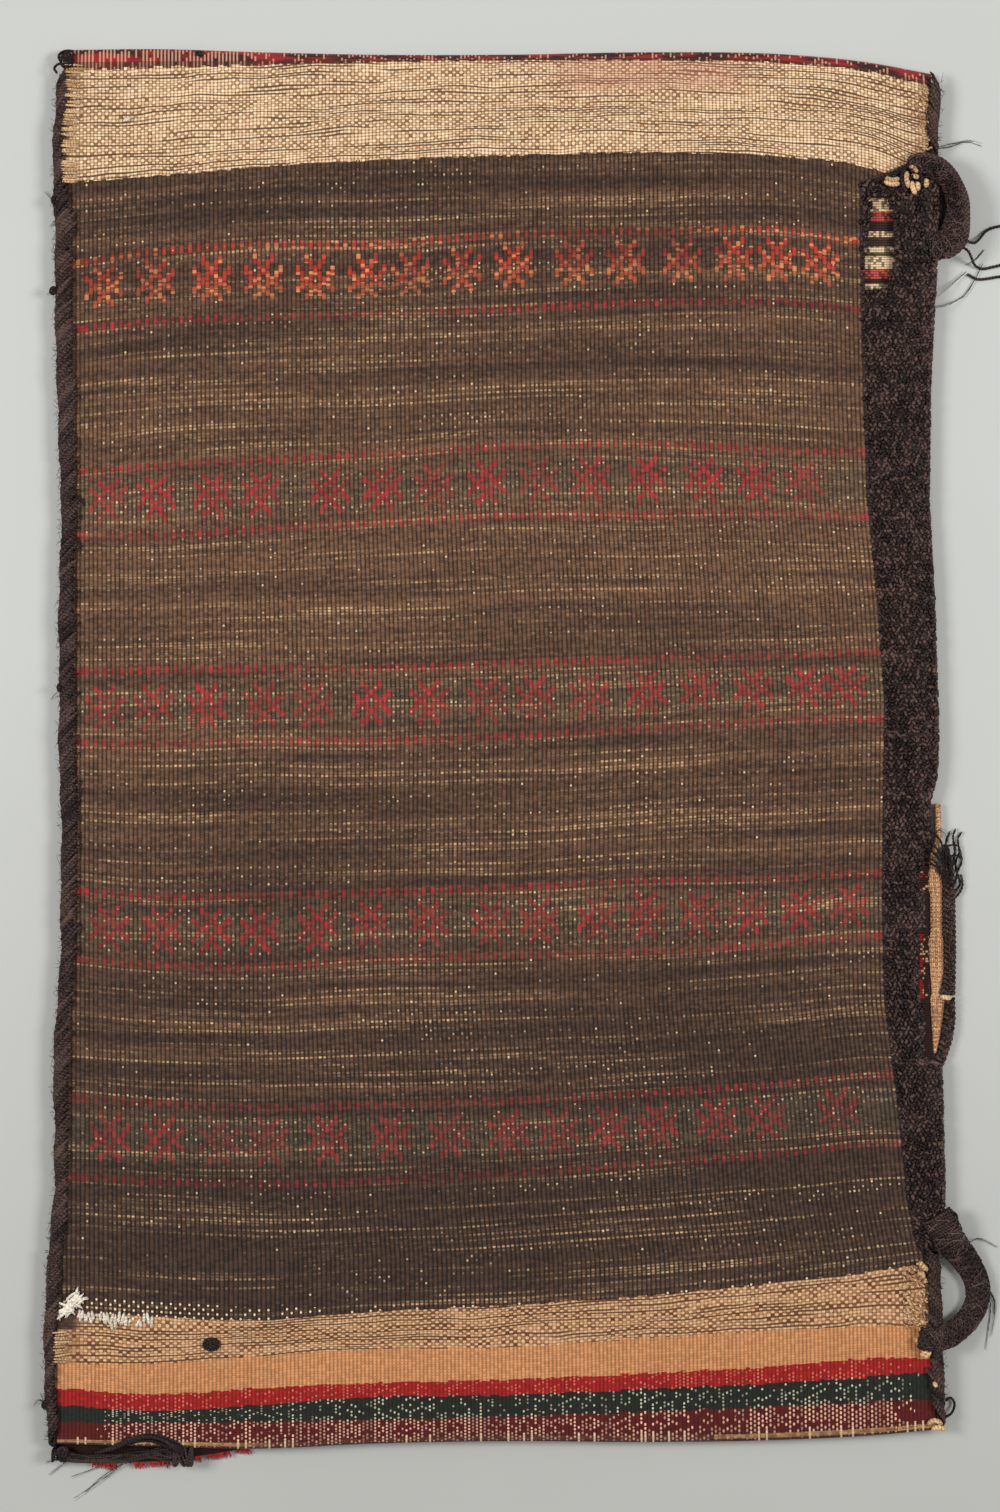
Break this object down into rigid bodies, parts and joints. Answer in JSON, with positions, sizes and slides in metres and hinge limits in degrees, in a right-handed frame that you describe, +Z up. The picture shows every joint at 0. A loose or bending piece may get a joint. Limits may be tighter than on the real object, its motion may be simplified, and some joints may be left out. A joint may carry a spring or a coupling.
{
  "type": "pile-faced woven bag",
  "caption": "Flat empty woven bag lying on its pile, striped flatwoven back up, with a folded end, an open end, an overcast side, a knotted goat-hair side band and closing loops.",
  "frame": {"origin": "middle of the bag's outline at floor level, without the loose yarn ends", "axes": "+X to the side with the closing loops, +Y from the open mouth to the fold, +Z up from the floor, through the pile face to the flatwoven back"},
  "size_m": [0.607, 0.8769, 0.0195],
  "materials": {
    "flatweave": "matt ribbed flatweave of dark brown wool with star rows, cream bands and stripes",
    "pile": "short matt knotted wool pile in madder red and dark brown",
    "dark_wool": "matt overcast dark wool and goat-hair yarn",
    "goat_hair": "dark brown goat hair, knotted and wrapped, with a slight sheen",
    "tan_wool": "matt tan wool, worn",
    "yarn": "dark twisted yarn"
  },
  "bodies": {
    "root": {"bag_cloth": "flatweave", "left_edging": "dark_wool", "joining_band": "goat_hair", "upper_right_edging": "dark_wool", "lower_right_edging": "dark_wool", "torn_edging_upper": "dark_wool", "torn_edging_lower": "dark_wool", "tan_selvedge": "tan_wool", "upper_loop": "goat_hair", "lower_loop": "goat_hair", "corner_lock": "dark_wool", "tie_end_long": "yarn", "tie_end_looped": "yarn"}
  },
  "joints": []
}
